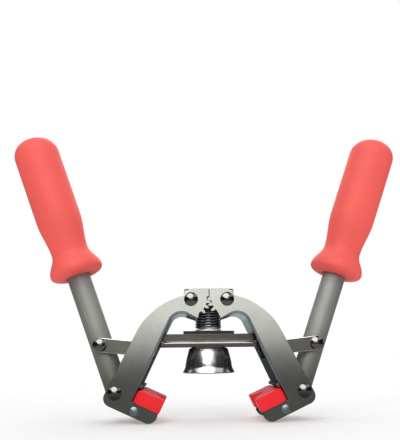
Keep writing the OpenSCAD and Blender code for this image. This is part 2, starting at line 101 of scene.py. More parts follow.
def newGroup(name, inputs, outputs):
    g = bpy.data.node_groups.new(name, "ShaderNodeTree")
    for kind, sock, value in inputs:
        s = g.interface.new_socket(sock, in_out="INPUT", socket_type="NodeSocket" + kind)
        if value is not None:
            s.default_value = value
    for kind, sock in outputs:
        g.interface.new_socket(sock, in_out="OUTPUT", socket_type="NodeSocket" + kind)
    return g, g.nodes.new("NodeGroupInput"), g.nodes.new("NodeGroupOutput")


def mathNode(tree, op, a, b=None):
    n = tree.nodes.new("ShaderNodeMath")
    n.operation = op
    for i, v in enumerate((a, b)):
        if isinstance(v, (int, float)):
            n.inputs[i].default_value = v
        elif v is not None:
            wire(tree, v, n.inputs[i])
    return n.outputs[0]


def mixColour(tree, fac, a, b, blend="MIX"):
    n = tree.nodes.new("ShaderNodeMix")
    n.data_type, n.blend_type = "RGBA", blend
    for sock, v in ((n.inputs[0], fac), (n.inputs[6], a), (n.inputs[7], b)):  # 6 and 7 are the two colours
        if isinstance(v, (int, float)):
            sock.default_value = v
        elif isinstance(v, tuple):
            sock.default_value = (*v, 1)
        else:
            wire(tree, v, sock)
    return n.outputs[2]


def noise(tree, vector, scale, detail, rough):
    n = tree.nodes.new("ShaderNodeTexNoise")
    n.inputs["Scale"].default_value, n.inputs["Detail"].default_value = scale, detail
    n.inputs["Roughness"].default_value = rough
    wire(tree, vector, n.inputs["Vector"])
    return n.outputs["Fac"]


def remap(tree, value, lo, hi, outLo, outHi):
    n = tree.nodes.new("ShaderNodeMapRange")
    n.interpolation_type = "SMOOTHSTEP"
    for i, v in enumerate((lo, hi, outLo, outHi)):
        n.inputs[i + 1].default_value = v
    wire(tree, value, n.inputs[0])
    return n.outputs[0]


def greyColour(tree, value):
    n = tree.nodes.new("ShaderNodeCombineColor")
    for i in range(3):
        wire(tree, value, n.inputs[i])
    return n.outputs[0]


bumpDepth = 0.2 * mm


def addBump(tree, bsdf, height, strength):
    b = tree.nodes.new("ShaderNodeBump")
    b.inputs["Strength"].default_value, b.inputs["Distance"].default_value = strength, bumpDepth
    wire(tree, height, b.inputs["Height"])
    wire(tree, b.outputs[0], bsdf.inputs["Normal"])


# plated steel: fine streaks along one direction, cloudy plating and a few darker smears;
# a noise is given as scale, detail and roughness, and From and To are its spread before and after
platingLook = {"streaks": (2600, 3, 0.55), "clouds": (55, 4, 0.55), "smears": (21, 5, 0.62), "middle": 0.5,
               "cloudFrom": (0.25, 0.75), "cloudTo": (0.93, 1.05), "smearFrom": (0.5, 0.78),
               "smearTo": (0, 0.55), "streakShade": 0.35, "streakRough": 0.22, "smearRough": 0.1}


def makePlating(v):
    g, gi, go = newGroup("platedSteel",
        [("Vector", "Along", None), ("Vector", "Place", None), ("Color", "Steel", (0.6, 0.6, 0.6, 1)),
         ("Color", "Smear", (0.3, 0.3, 0.3, 1)), ("Float", "Roughness", 0.3), ("Float", "Streaks", 0.5)],
        [("Color", "Color"), ("Float", "Roughness"), ("Float", "Height")])
    streak = noise(g, gi.outputs["Along"], *v["streaks"])
    cloud = noise(g, gi.outputs["Place"], *v["clouds"])
    smear = remap(g, noise(g, gi.outputs["Place"], *v["smears"]), *v["smearFrom"], *v["smearTo"])
    tone = mixColour(g, smear, gi.outputs["Steel"], gi.outputs["Smear"])
    lift = mathNode(g, "MULTIPLY", mathNode(g, "SUBTRACT", streak, v["middle"]), gi.outputs["Streaks"])
    shade = mathNode(g, "ADD", remap(g, cloud, *v["cloudFrom"], *v["cloudTo"]),
                     mathNode(g, "MULTIPLY", lift, v["streakShade"]))
    wire(g, mixColour(g, 1.0, tone, greyColour(g, shade), "MULTIPLY"), go.inputs["Color"])
    rough = mathNode(g, "ADD", gi.outputs["Roughness"], mathNode(g, "MULTIPLY", lift, v["streakRough"]))
    rough = mathNode(g, "ADD", rough, mathNode(g, "MULTIPLY", smear, v["smearRough"]))
    wire(g, rough, go.inputs["Roughness"])
    wire(g, streak, go.inputs["Height"])
    return g


# moulded plastic: slow colour clouds, a fine pebble and a slightly worn sheen
mouldedLook = {"clouds": (38, 3, 0.5), "cloudFrom": (0.25, 0.75), "cloudTo": (0.955, 1.02),
               "scuffs": (240, 5, 0.7), "scuffFrom": (0.48, 0.75), "scuffTo": (0, 0.06)}


def makeMoulded(v):
    g, gi, go = newGroup("mouldedPlastic",
        [("Vector", "Place", None), ("Color", "Plastic", (0.8, 0.1, 0.1, 1)), ("Float", "Roughness", 0.4),
         ("Float", "Pebble", 1500.0)],
        [("Color", "Color"), ("Float", "Roughness"), ("Float", "Height")])
    tone = remap(g, noise(g, gi.outputs["Place"], *v["clouds"]), *v["cloudFrom"], *v["cloudTo"])
    wire(g, mixColour(g, 1.0, gi.outputs["Plastic"], greyColour(g, tone), "MULTIPLY"), go.inputs["Color"])
    scuff = remap(g, noise(g, gi.outputs["Place"], *v["scuffs"]), *v["scuffFrom"], *v["scuffTo"])
    wire(g, mathNode(g, "ADD", gi.outputs["Roughness"], scuff), go.inputs["Roughness"])
    pebble = g.nodes.new("ShaderNodeTexVoronoi")
    wire(g, gi.outputs["Place"], pebble.inputs["Vector"])
    wire(g, gi.outputs["Pebble"], pebble.inputs["Scale"])
    wire(g, pebble.outputs["Distance"], go.inputs["Height"])
    return g


plating = makePlating(platingLook)
moulded = makeMoulded(mouldedLook)


# stretch draws the streaks out along an axis; a fade is painted shade that multiplies the steel by its tone
# towards one end
def steelFinish(name, steel, smear, roughness, streaks=0.5, stretch=(1, 1, 0.03), bump=0.02, paintedShade=None,
                metal=1.0):
    mat, t, bsdf = newFinish(name)
    coord = t.nodes.new("ShaderNodeTexCoord").outputs["Object"]
    mapping = t.nodes.new("ShaderNodeMapping")
    mapping.vector_type = "TEXTURE"
    mapping.inputs["Scale"].default_value = tuple(1 / s for s in stretch)
    wire(t, coord, mapping.inputs["Vector"])
    g = t.nodes.new("ShaderNodeGroup")
    g.node_tree = plating
    wire(t, mapping.outputs[0], g.inputs["Along"])
    wire(t, coord, g.inputs["Place"])
    g.inputs["Steel"].default_value, g.inputs["Smear"].default_value = (*steel, 1), (*smear, 1)
    g.inputs["Roughness"].default_value, g.inputs["Streaks"].default_value = roughness, streaks
    colour = g.outputs["Color"]
    if paintedShade:
        split = t.nodes.new("ShaderNodeSeparateXYZ")
        wire(t, coord, split.inputs[0])
        place = mathNode(t, "ABSOLUTE", split.outputs[paintedShade["axis"]])
        shadeShare = remap(t, place, paintedShade["full"], paintedShade["none"], 1.0, 0.0)
        colour = mixColour(t, shadeShare, colour, mixColour(t, 1.0, colour, paintedShade["tone"], "MULTIPLY"))
    wire(t, colour, bsdf.inputs["Base Color"])
    wire(t, g.outputs["Roughness"], bsdf.inputs["Roughness"])
    bsdf.inputs["Metallic"].default_value = metal
    addBump(t, bsdf, g.outputs["Height"], bump)
    return mat


def plasticFinish(name, colour, roughness, pebble, bump, shine):
    mat, t, bsdf = newFinish(name)
    coord = t.nodes.new("ShaderNodeTexCoord").outputs["Object"]
    g = t.nodes.new("ShaderNodeGroup")
    g.node_tree = moulded
    wire(t, coord, g.inputs["Place"])
    g.inputs["Plastic"].default_value = (*colour, 1)
    g.inputs["Roughness"].default_value, g.inputs["Pebble"].default_value = roughness, pebble
    wire(t, g.outputs["Color"], bsdf.inputs["Base Color"])
    wire(t, g.outputs["Roughness"], bsdf.inputs["Roughness"])
    bsdf.inputs["Specular IOR Level"].default_value = shine
    addBump(t, bsdf, g.outputs["Height"], bump)
    return mat


# fades, in metres, are painted shade: the sheet and the tubes are painted darker towards the feet, the arch
# below its top, the bridge at the middle, the foot rivets in their lower half and the bell at its top
paintedFootShade = {"axis": "Z", "full": 0.004, "none": 0.0755, "tone": (0.228, 0.231, 0.224)}
paintedLeverShade = {"axis": "Z", "full": 0.01, "none": 0.075, "tone": (0.46, 0.45, 0.385)}
paintedArchShade = {"axis": "Z", "full": 0.058, "none": 0.0735, "tone": (0.26, 0.35, 0.4)}
paintedMiddleShade = {"axis": "X", "full": 0.008, "none": 0.011, "tone": (0.06, 0.06, 0.06)}
paintedPinShade = {"axis": "Z", "full": 0.0165, "none": 0.0235, "tone": (0.3, 0.26, 0.25)}
paintedBellShade = {"axis": "Z", "full": 0.0505, "none": 0.0472, "tone": (0.25, 0.25, 0.25)}
alongBar = (0.03, 1, 1)
# each steel has colour, smear, roughness and streaks; each plastic colour, roughness, pebble, bump, shine
finishes = {
    # the jaw sheet is painted darker towards the feet, as painted shade
    "jaw": steelFinish("jawSteel", (0.65, 0.66, 0.6), (0.54, 0.545, 0.495), 0.2, 0.18, bump=0.004,
                       paintedShade=paintedFootShade),
    # the jaw's rounded fold and cut edges are a darker bluish copy of the jaw steel, painted shade, and are
    # also painted darker towards the feet
    "jawEdge": steelFinish("jawEdgePaintedShade", (0.5, 0.57, 0.59), (0.42, 0.48, 0.5), 0.2, 0.2, bump=0.004,
                           paintedShade=paintedFootShade),
    # the arch inside is a bluish copy of the jaw steel, a painted reflection, and is painted darker below its
    # top as painted shade
    "jawInside": steelFinish("jawInsidePaintedReflection", (0.6, 0.77, 0.82), (0.5, 0.64, 0.68), 0.24, 0.2, bump=0.006,
                             paintedShade=paintedArchShade),
    # the legs' insides are painted near black: painted shade between the plates
    "legInsideShade": plasticFinish("legInsidePaintedShade", (0.02, 0.027, 0.03), 0.6, 1800, 0.03, 0.06),
    # the lever tubes are painted darker towards the feet, as painted shade
    "lever": steelFinish("leverSteel", (0.288, 0.29, 0.264), (0.246, 0.248, 0.226), 0.58, 0.22, bump=0.008,
                         paintedShade=paintedLeverShade, metal=0.65),
    # the levers' rounded edges are a lighter copy of the lever steel: a painted highlight
    "leverEdge": steelFinish("leverEdgePaintedHighlight", (0.62, 0.62, 0.61), (0.5, 0.5, 0.49), 0.3, 0.4),
    "link": steelFinish("linkSteel", (0.218, 0.215, 0.185), (0.17, 0.168, 0.145), 0.28, 0.35,
                        stretch=alongBar),
    # the links' rounded edges are a lighter copy of the link steel: a painted highlight
    "linkEdge": steelFinish("linkEdgePaintedHighlight", (0.8, 0.8, 0.78), (0.6, 0.6, 0.58), 0.2, 0.3, stretch=alongBar),
    # the bridge is painted near black at its middle: painted shade between the jaws
    "bridge": steelFinish("bridgeSteel", (0.7, 0.705, 0.69), (0.58, 0.58, 0.57), 0.21, 0.2, bump=0.004,
                          paintedShade=paintedMiddleShade),
    "bar": steelFinish("barSteel", (0.122, 0.117, 0.1), (0.09, 0.084, 0.074), 0.2, 0.3, stretch=alongBar,
                       bump=0.008),
    # the bar's bead and rounded edges are a lighter copy of the bar steel: a painted highlight
    "barEdge": steelFinish("barEdgePaintedHighlight", (0.21, 0.195, 0.175), (0.16, 0.145, 0.13), 0.16, 0.2,
                           stretch=alongBar, bump=0.006),
    # the foot rivets are painted darker in their lower half, as painted shade
    "pin": steelFinish("pinSteel", (0.2, 0.195, 0.19), (0.14, 0.135, 0.13), 0.12, 0.15, bump=0.004,
                       paintedShade=paintedPinShade),
    "spacer": steelFinish("spacerSteel", (0.22, 0.26, 0.275), (0.15, 0.17, 0.18), 0.34, 0.3),
    "collar": steelFinish("collarZinc", (0.9, 0.905, 0.9), (0.8, 0.8, 0.79), 0.4, 0.2, metal=0.5),
    # the bell is painted darker at its top: painted shade under the crossbar
    "bell": steelFinish("bellChrome", (0.52, 0.525, 0.51), (0.45, 0.455, 0.44), 0.2, 0.06, bump=0.002,
                        paintedShade=paintedBellShade),
    "spring": steelFinish("springWire", (0.18, 0.215, 0.23), (0.12, 0.145, 0.155), 0.2, 0.3),
    # this black finish is the spring plate's own, and on the bridge's rounded edges it is painted shade, a
    # dark outline
    "dark": steelFinish("blackOxideAndEdgeShade", (0.045, 0.042, 0.04), (0.03, 0.03, 0.03), 0.3, 0.4),
    "brass": steelFinish("bushBronze", (0.13, 0.1, 0.06), (0.08, 0.06, 0.04), 0.35, 0.4),
    "grip": plasticFinish("gripPlastic", (0.86, 0.113, 0.096), 0.5, 2200, 0.05, 0.15),
    "pad": plasticFinish("padPlastic", (0.86, 0.026, 0.034), 0.28, 2600, 0.015, 0.1),
}
print("finishes made:", len(finishes))


# building helpers

joinWithin = 0.001 * mm  # points of a new surface closer than this are one point
nodeJoinWithin = 0.002 * mm  # the same for the frame's own shapes, and for slivers left by a round
flatDeg = 0.5  # faces that meet at less than this are one flat face
edgeDeg = 32  # faces that meet at more than this have an edge between them


# gridSurface joins a grid of points, rows by columns, into quads; a row closes into a ring unless told
def gridSurface(name, points, wrapAcross=True):
    rows, cols = points.shape[:2]
    i, j = np.meshgrid(np.arange(rows - 1), np.arange(cols if wrapAcross else cols - 1), indexing="ij")
    here, above, jNext = i * cols, (i + 1) * cols, (j + 1) % cols
    quads = np.stack([here + j, here + jNext, above + jNext, above + j], -1).reshape(-1, 4)
    mesh = bpy.data.meshes.new(name)
    mesh.from_pydata(points.reshape(-1, 3).tolist(), [], quads.tolist())
    bm = bmesh.new()
    bm.from_mesh(mesh)
    bmesh.ops.remove_doubles(bm, verts=bm.verts, dist=joinWithin)
    bmesh.ops.recalc_face_normals(bm, faces=bm.faces)
    bm.to_mesh(mesh)
    bm.free()
    return mesh


def unit(v):
    return np.asarray(v, float) / np.linalg.norm(v)


# revolve turns a profile of radius and height round an axis:
# centre + height * axis + radius * (cos, sin) in the plane across the axis
def revolve(name, profile, centre, axis, around, seam=None):
    axis = unit(axis)
    nearlyY = abs(axis[1]) >= 0.9
    side = np.array((1.0, 0, 0)) if nearlyY else unit(np.cross(axis, (0, 1, 0)))
    other = np.cross(axis, side)
    angle = np.linspace(0, 2 * math.pi, around, endpoint=False)
    radius = profile[:, :1] + (seam(angle)[None, :] * (profile[:, :1] > 0) if seam else 0)
    ring = np.cos(angle)[:, None] * side + np.sin(angle)[:, None] * other
    points = centre + profile[:, 1:, None] * axis + radius[:, :, None] * ring[None]
    return gridSurface(name, points)


# arcPoints are points on an arc of a circle or an ellipse, as radius and height:
# centre + (across * cos, up * sin) from one angle to another
def arcPoints(centre, radii, fromDeg, toDeg, count):
    a = np.radians(np.linspace(fromDeg, toDeg, count))
    return np.stack([centre[0] + radii[0] * np.cos(a), centre[1] + radii[1] * np.sin(a)], -1)


# easeTo is a smooth step from one radius to another over a height: the share is (1 - cos) / 2
def easeTo(start, end, count):
    t = np.linspace(0, 1, count)
    s = (1 - np.cos(math.pi * t)) / 2
    return np.stack([start[0] + (end[0] - start[0]) * s, start[1] + (end[1] - start[1]) * t], -1)


# wholeProfile joins stretches of a profile in mm into one in metres
def wholeProfile(*parts):
    return np.concatenate([np.asarray(p, float) for p in parts]) * mm


def addPiece(mesh, body, replaced, slotName, *materials, sharpDeg=40):
    for m in materials:
        mesh.materials.append(finishes[m])
    mesh.shade_smooth()
    mesh.set_sharp_from_angle(angle=math.radians(sharpDeg))
    obj = bpy.data.objects.new(mesh.name, mesh)
    bpy.context.collection.objects.link(obj)
    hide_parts(replaced)
    if body:
        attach(obj, body)
    return obj


# mergedCopy is a frame node's shape with its loose triangles joined and its flat faces made whole
def mergedCopy(node):
    bm = bmesh.new()
    bm.from_mesh(nodes[node].data)
    bmesh.ops.remove_doubles(bm, verts=bm.verts, dist=nodeJoinWithin)
    bmesh.ops.dissolve_limit(bm, angle_limit=math.radians(flatDeg), verts=bm.verts, edges=bm.edges)
    return bm


def meshFrom(bm, name):
    mesh = bpy.data.meshes.new(name)
    bm.to_mesh(mesh)
    bm.free()
    return mesh


# softenEdges rounds each edge, or the weighted ones by their weight, and closes what slivers that leaves;
# a clamped round stops where it would run into the next one
def softenEdges(obj, v, weighted=False):
    bevel = obj.modifiers.new("softEdges", "BEVEL")
    bevel.width, bevel.segments = v["round"] * mm, v["segments"]
    bevel.limit_method, bevel.angle_limit = ("WEIGHT" if weighted else "ANGLE"), math.radians(edgeDeg)
    bevel.harden_normals = True
    bevel.use_clamp_overlap = v.get("clamped", False)
    # the rounds take a piece's second finish: a painted highlight on the levers, links and crossbar, painted
    # bluish shade on the jaws, painted shade on the bridge
    if len(obj.data.materials) > 1:
        bevel.material = 1
    weld = obj.modifiers.new("closeSlivers", "WELD")
    weld.merge_threshold = nodeJoinWithin


def roundedCopy(node, pieceName, slotName, v):
    obj = addPiece(meshFrom(mergedCopy(node), pieceName), bodyOf[node], node, slotName, *v["finish"])
    softenEdges(obj, v)
    return obj


# jaws: bent sheet, so the fold along the inner edge is a wide round and every cut edge a narrow one;
# the height below which the legs' insides take painted shade is in metres, inward a share of a normal,
# cutEdge a share of the round
jawSheet = {"finish": ("jaw", "jawEdge", "jawInside", "legInsideShade"), "shadeBelow": 0.056, "inward": 0.3,
            "round": 1.7, "cutEdge": 0.08, "segments": 3, "openAngle": 25.0, "legInset": 6.85,
            "archDrop": 10.8, "archRadius": 8.5, "halfDepth": 19.0,
            "nearFace": 0.02, "nearLeg": 0.05, "nearArch": 0.08}


# the inside of the arch and the legs faces inwards or down
def insideFaces(bm, v, right):
    toMiddle = -1 if right else 1
    return [f for f in bm.faces if abs(f.normal.y) < v["inward"]
            and (f.normal.x * toMiddle > v["inward"] or f.normal.z < -v["inward"])]


# the insides are parted where the painted shade on the legs begins; the arch above keeps its painted
# reflection
def shadeInsides(bm, v, right):
    inside = insideFaces(bm, v, right)
    edges = {e for f in inside for e in f.edges}
    corners = {p for f in inside for p in f.verts}
    bmesh.ops.bisect_plane(bm, geom=[*inside, *edges, *corners], dist=joinWithin,
                           plane_co=(0, 0, v["shadeBelow"]), plane_no=(0, 0, 1))
    arch, leg = (v["finish"].index(name) for name in ("jawInside", "legInsideShade"))
    for f in insideFaces(bm, v, right):
        f.material_index = arch if f.calc_center_median().z > v["shadeBelow"] else leg


# an edge of the plates' outer faces is a fold where it lies on the leg's straight side or on the arch;
# leg is its place with the opened jaw turned back upright
def jawFold(bm, v, pivot, right):
    layer = bm.edges.layers.float.new("bevel_weight_edge")
    tilt = math.radians(v["openAngle"])
    archAt = np.array((v["archRadius"] - v["legInset"], -v["archDrop"] - v["archRadius"]))
    for e in bm.edges:
        if e.calc_face_angle(0) < math.radians(edgeDeg):
            continue
        e[layer] = v["cutEdge"]
        ends = np.array([p.co for p in e.verts]) / mm - pivot / mm
        across, up = ends[:, 0] * (-1 if right else 1), ends[:, 2]
        leg = np.stack([across * math.cos(tilt) - up * math.sin(tilt),
                        across * math.sin(tilt) + up * math.cos(tilt)], -1)
        onFace = np.all(np.abs(np.abs(ends[:, 1]) - v["halfDepth"]) < v["nearFace"])
        onLeg = np.all(np.abs(leg[:, 0] + v["legInset"]) < v["nearLeg"])
        onArch = np.all(np.abs(np.linalg.norm(leg - archAt, axis=1) - v["archRadius"]) < v["nearArch"])
        if onFace and (onLeg or onArch):
            e[layer] = 1.0


for side in sides:
    bm = mergedCopy(side + "_jaw")
    shadeInsides(bm, jawSheet, side == "right")
    jawFold(bm, jawSheet, jointAt[side + "_jaw_hinge"], side == "right")
    mesh = meshFrom(bm, side + "JawSheet")
    sheet = addPiece(mesh, side + "_jaw", side + "_jaw", "jaw_sheet", *jawSheet["finish"])
    softenEdges(sheet, jawSheet, weighted=True)
print("jaws folded")

# levers, links and the pieces along the middle keep their shapes and get rounded edges
leverTube = {"finish": ("lever", "leverEdge"), "round": 0.3, "segments": 2, "clamped": True}
linkStrip = {"finish": ("link", "linkEdge"), "round": 0.35, "segments": 3}
pinEnd = {"finish": ("pin",), "round": 0.3, "segments": 2}
spacerEnd = {"finish": ("spacer",), "round": 0.3, "segments": 2}
bushEnd = {"finish": ("brass",), "round": 0.25, "segments": 2}
crossbarChannel = {"finish": ("bar", "barEdge"), "round": 0.4, "segments": 3, "clamped": True,
                   "halfDepth": 8.22}
springPlate = {"finish": ("dark",), "round": 0.35, "segments": 3}
# the bridge's rounded edges take the black finish: painted shade for a dark outline
bridgeChannel = {"finish": ("bridge", "dark"), "round": 0.95, "segments": 3}
collarRing = {"finish": ("collar",), "round": 0.3, "segments": 2}

for side in sides:
    roundedCopy(side + "_lever", side + "LeverTube", "lever_tube", leverTube)
    roundedCopy(side + "_lever_bush", side + "LeverBush", "bush", bushEnd)
    roundedCopy(side + "_front_link", side + "FrontLink", "link", linkStrip)
    roundedCopy(side + "_rear_link", side + "RearLink", "link", linkStrip)
    roundedCopy(side + "_ear_pin", side + "EarPin", "pin", pinEnd)
    roundedCopy(side + "_toe_spacer", side + "ToeSpacer", "pin", spacerEnd)
channel = roundedCopy("crossbar", "crossbarChannel", "crossbar", crossbarChannel)
barFace = crossbarChannel["halfDepth"] * mm
for f in channel.data.polygons:  # the bead stands proud of the bar's two faces and takes the lighter finish: a painted highlight
    f.material_index = int(abs(f.center.y) > barFace)
roundedCopy("spring_plate", "springPlate", "bridge", springPlate)
roundedCopy("spring_collar", "springCollar", "pin", collarRing)
roundedCopy("guide_rod", "guideRod", "pin", pinEnd)
roundedCopy("guide_bush", "guideBush", "bush", bushEnd)
roundedCopy("top_bridge", "topBridge", "crossbar", bridgeChannel)
print("edges rounded")

# pads: soft moulded blocks, so the whole block is remeshed finely and its edges are smoothed round
padBlock = {"grid": 0.36, "passes": 40, "ease": 0.5}


def mouldedPad(node, pieceName, v):
    obj = addPiece(meshFrom(mergedCopy(node), pieceName), bodyOf[node], node, "pad", "pad")
    grid = obj.modifiers.new("fineGrid", "REMESH")
    grid.mode, grid.voxel_size, grid.use_smooth_shade = "VOXEL", v["grid"] * mm, True
    ease = obj.modifiers.new("roundEdges", "SMOOTH")
    ease.factor, ease.iterations = v["ease"], v["passes"]


for side in sides:
    mouldedPad(side + "_pad", side + "Pad", padBlock)
print("pads moulded")

# rivets: a shank with a low domed head at each end; the head stands on a short straight rim
rivet = {"shank": 3.0, "head": 4.8, "dome": 2.5, "rim": 0.45, "soft": 0.12, "domeSteps": 14, "around": 72,
         "reach": {"top_pin": 19.15, "lever_pin": 19.0, "link_pin": 10.65},
         "hingeOf": {"top_pin": "jaw", "lever_pin": "lever", "link_pin": "link"}}


# rivetProfile runs from one dome's top over its rim and shank to the other dome's top, as radius and height;
# the dome is a cap of the ball whose radius is (head squared + rise squared) / (2 * rise)
def rivetProfile(v, reach):
    rise = v["dome"] - v["rim"]
    ball = (v["head"] ** 2 + rise ** 2) / (2 * rise)
    a = np.linspace(0, math.asin(v["head"] / ball), v["domeSteps"])
    dome = np.stack([ball * np.sin(a), reach + v["dome"] - ball + ball * np.cos(a)], -1)
    rim = np.array([(v["head"], reach + v["rim"] - v["soft"]), (v["head"], reach + v["soft"]),
                    (v["head"] - v["soft"], reach), (v["shank"], reach)])
    top = np.concatenate([dome, rim])
    return wholeProfile(top, top[::-1] * (1, -1))


for side in sides:
    for kind, reach in rivet["reach"].items():
        node = side + "_" + kind
        at = jointAt[side + "_" + rivet["hingeOf"][kind] + "_hinge"]
        pieceName = side + "".join(w.title() for w in kind.split("_"))
        mesh = revolve(pieceName, rivetProfile(rivet, reach), at, (0, 1, 0), rivet["around"])
        addPiece(mesh, bodyOf[node], node, "pin", "pin")
print("rivets set")

# grips: a revolved sleeve with a flared guard, a waist and a round top, and a faint parting seam on two sides
grip = {"leverLength": 193.0, "length": 106.0, "radius": 16.0, "waist": 13.2, "guard": 18.9, "guardAt": 4.4,
        "waistAt": 19.5, "fullAt": 46.0, "crown": 11.5, "sleeve": 8.22, "sleeveSoft": 0.6, "cap": 6.0,
        "mouthInset": 2.0, "seam": 0.12, "seamWidth": 0.035, "guardSteps": 16, "waistSteps": 26,
        "bodySteps": 12, "crownSteps": 18, "around": 192, "sharpDeg": 60}


# gripProfile goes from the bore's end down to the sleeve's mouth, round the guard by a quarter ellipse,
# up the waist and body by two smooth steps and over the top by a quarter circle, as radius and height
def gripProfile(v):
    mouth = (v["sleeve"] + v["guard"]) / 2 - v["mouthInset"]
    boreEnd, top = v["length"] - v["cap"], v["length"] - v["crown"]
    soft = v["sleeveSoft"]
    return wholeProfile(
        [(0, boreEnd), (v["sleeve"], boreEnd), (v["sleeve"], soft), (v["sleeve"] + soft, 0.0)],
        arcPoints((mouth, v["guardAt"]), (v["guard"] - mouth, v["guardAt"]), -90, 0, v["guardSteps"]),
        easeTo((v["guard"], v["guardAt"]), (v["waist"], v["waistAt"]), v["waistSteps"])[1:],
        easeTo((v["waist"], v["waistAt"]), (v["radius"], v["fullAt"]), v["waistSteps"])[1:],
        [(v["radius"], h) for h in np.linspace(v["fullAt"], top, v["bodySteps"])[1:]],
        arcPoints((v["radius"] - v["crown"], top), (v["crown"], v["crown"]), 0, 90, v["crownSteps"])[1:],
        [(0, v["length"])])


# gripSeam lifts the skin by a narrow bell curve at both ends of the side axis: seam * exp(-(sin / width)^2)
def gripSeam(v):
    return lambda a: v["seam"] * mm * np.exp(-(np.sin(a) / v["seamWidth"]) ** 2)


for side in sides:
    foot = jointAt[side + "_lever_hinge"]
    axis = unit(jointAt[side + "_link_hinge"] - foot)
    base = foot + axis * (grip["leverLength"] - grip["length"]) * mm
    mesh = revolve(side + "Grip", gripProfile(grip), base, axis, grip["around"], gripSeam(grip))
    addPiece(mesh, side + "_lever", side + "_grip", "grip", "grip", sharpDeg=grip["sharpDeg"])
print("grips turned")

# bell: a turned cup with a boss in the crossbar, a round shoulder, a flared rim and a straight throat inside
bell = {"throat": 14.3, "throatLength": 3.0, "throatAbove": 3.4, "rim": 18.5, "rimWall": 1.3, "rimSoft": 0.8,
        "height": 18.4, "side": 16.6, "sideAbove": 5.4, "sideBend": 0.72, "flarePower": 1.7,
        "shoulder": 14.2, "shoulderBelow": 2.2, "neck": 10.3, "crown": 3.2, "ceilingInset": 3.0,
        "boss": 6.1, "bossRise": 7.5, "bossSoft": 0.3, "bore": 3.52,
        "curveSteps": 22, "flareSteps": 18, "rimSteps": 6, "mouthSteps": 14, "around": 144}
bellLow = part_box("bell")[0][2]


# bellProfile goes from the bore up the boss, down over the shoulder and side to the rim, then up the throat
# to the ceiling, as radius and height: the shoulder and the ceiling are quarter ellipses, the side widens
# as a part of a sine, the flare as a power of its height and the mouth as a smooth step
def bellProfile(v):
    rise, soft, bend = v["height"], v["rimSoft"], v["sideBend"]
    shoulderAt, sideAt, throatAt = rise - v["shoulderBelow"], v["sideAbove"], v["throatAbove"]
    ceiling, throatTop = rise - v["crown"], v["throatAbove"] + v["throatLength"]
    bossTop, mouth = rise + v["bossRise"], v["rim"] - v["rimWall"]
    t = np.linspace(0, math.pi / 2, v["curveSteps"])
    flare = np.linspace(0, 1, v["flareSteps"])
    widen = np.sin(t * bend) / np.sin(t[-1] * bend)
    narrow = v["throat"] - v["shoulder"] + v["ceilingInset"]
    return wholeProfile(
        [(v["bore"], ceiling), (v["bore"], bossTop), (v["boss"] - v["bossSoft"], bossTop),
         (v["boss"], bossTop - v["bossSoft"]), (v["boss"], rise), (v["neck"], rise)],
        np.stack([v["neck"] + (v["shoulder"] - v["neck"]) * np.sin(t),
                  rise - v["shoulderBelow"] * (1 - np.cos(t))], -1)[1:],
        np.stack([v["shoulder"] + (v["side"] - v["shoulder"]) * widen,
                  shoulderAt + (sideAt - shoulderAt) * t / t[-1]], -1)[1:],
        np.stack([v["side"] + (v["rim"] - v["side"]) * flare ** v["flarePower"],
                  sideAt + (soft - sideAt) * flare], -1)[1:],
        arcPoints((v["rim"] - soft, soft), (soft, soft), 0, -90, v["rimSteps"]),
        [(mouth, 0)],
        easeTo((mouth, 0), (v["throat"], throatAt), v["mouthSteps"])[1:],
        np.stack([v["throat"] - narrow * (1 - np.cos(t)), throatTop + (ceiling - throatTop) * np.sin(t)], -1),
        [(v["bore"], ceiling)])


mesh = revolve("bellCup", bellProfile(bell), np.array((0, 0, bellLow)), (0, 0, 1), bell["around"])
addPiece(mesh, "crossbar", "bell", "bell", "bell")
print("bell turned")

# spring: a wire wound round the guide with its last turn at each end laid flat
spring = {"outside": 18.6, "wire": 2.0, "turns": 6.5, "flatTurns": 0.6, "leastRise": 0.25, "aroundWire": 16,
          "perTurn": 56, "sharpDeg": 60}
springLow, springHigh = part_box("return_spring")[0][2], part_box("return_spring")[1][2]


# springWire carries a ring along a helix whose rise starts and stops smoothly over the flat turns:
# centre + wire radius * (cos * outwards + sin * up); the ring shrinks to a point to close each end
def springWire(v):
    wireRadius, coilRadius = v["wire"] / 2 * mm, (v["outside"] - v["wire"]) / 2 * mm
    turn = np.linspace(0, v["turns"], int(v["turns"] * v["perTurn"]) + 1)
    rate = np.clip(np.minimum(turn, v["turns"] - turn) / v["flatTurns"], v["leastRise"], 1)
    climb = np.concatenate([[0], np.cumsum((rate[1:] + rate[:-1]) / 2)])
    z = springLow + wireRadius + (springHigh - springLow - 2 * wireRadius) * climb / climb[-1]
    a = 2 * math.pi * turn
    out = np.stack([np.cos(a), np.sin(a), 0 * a], -1)
    ring = np.linspace(0, 2 * math.pi, v["aroundWire"], endpoint=False)[None, :, None]
    shrink = np.ones_like(turn)
    shrink[0] = shrink[-1] = 0
    centre = out * coilRadius + np.stack([0 * a, 0 * a, z], -1)
    spokes = np.cos(ring) * out[:, None] + np.sin(ring) * np.array((0, 0, 1.0))
    points = centre[:, None] + wireRadius * shrink[:, None, None] * spokes
    points = np.concatenate([points[:1], points[1:2] + (centre[0] - centre[1]), points[1:-1],
                             points[-2:-1] + (centre[-1] - centre[-2]), points[-1:]])
    return gridSurface("returnSpringWire", points)


mesh = springWire(spring)
wirePiece = addPiece(mesh, None, "return_spring", "spring", "spring", sharpDeg=spring["sharpDeg"])
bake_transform(wirePiece)
print("spring wound")


# studio: pale floor, white surround, soft lamps, and dark flags that only the metal sees

# surround: the camera and the mirrors see the full white, and the rest is lit by less
surround = {"seen": 1.0, "light": 0.51}


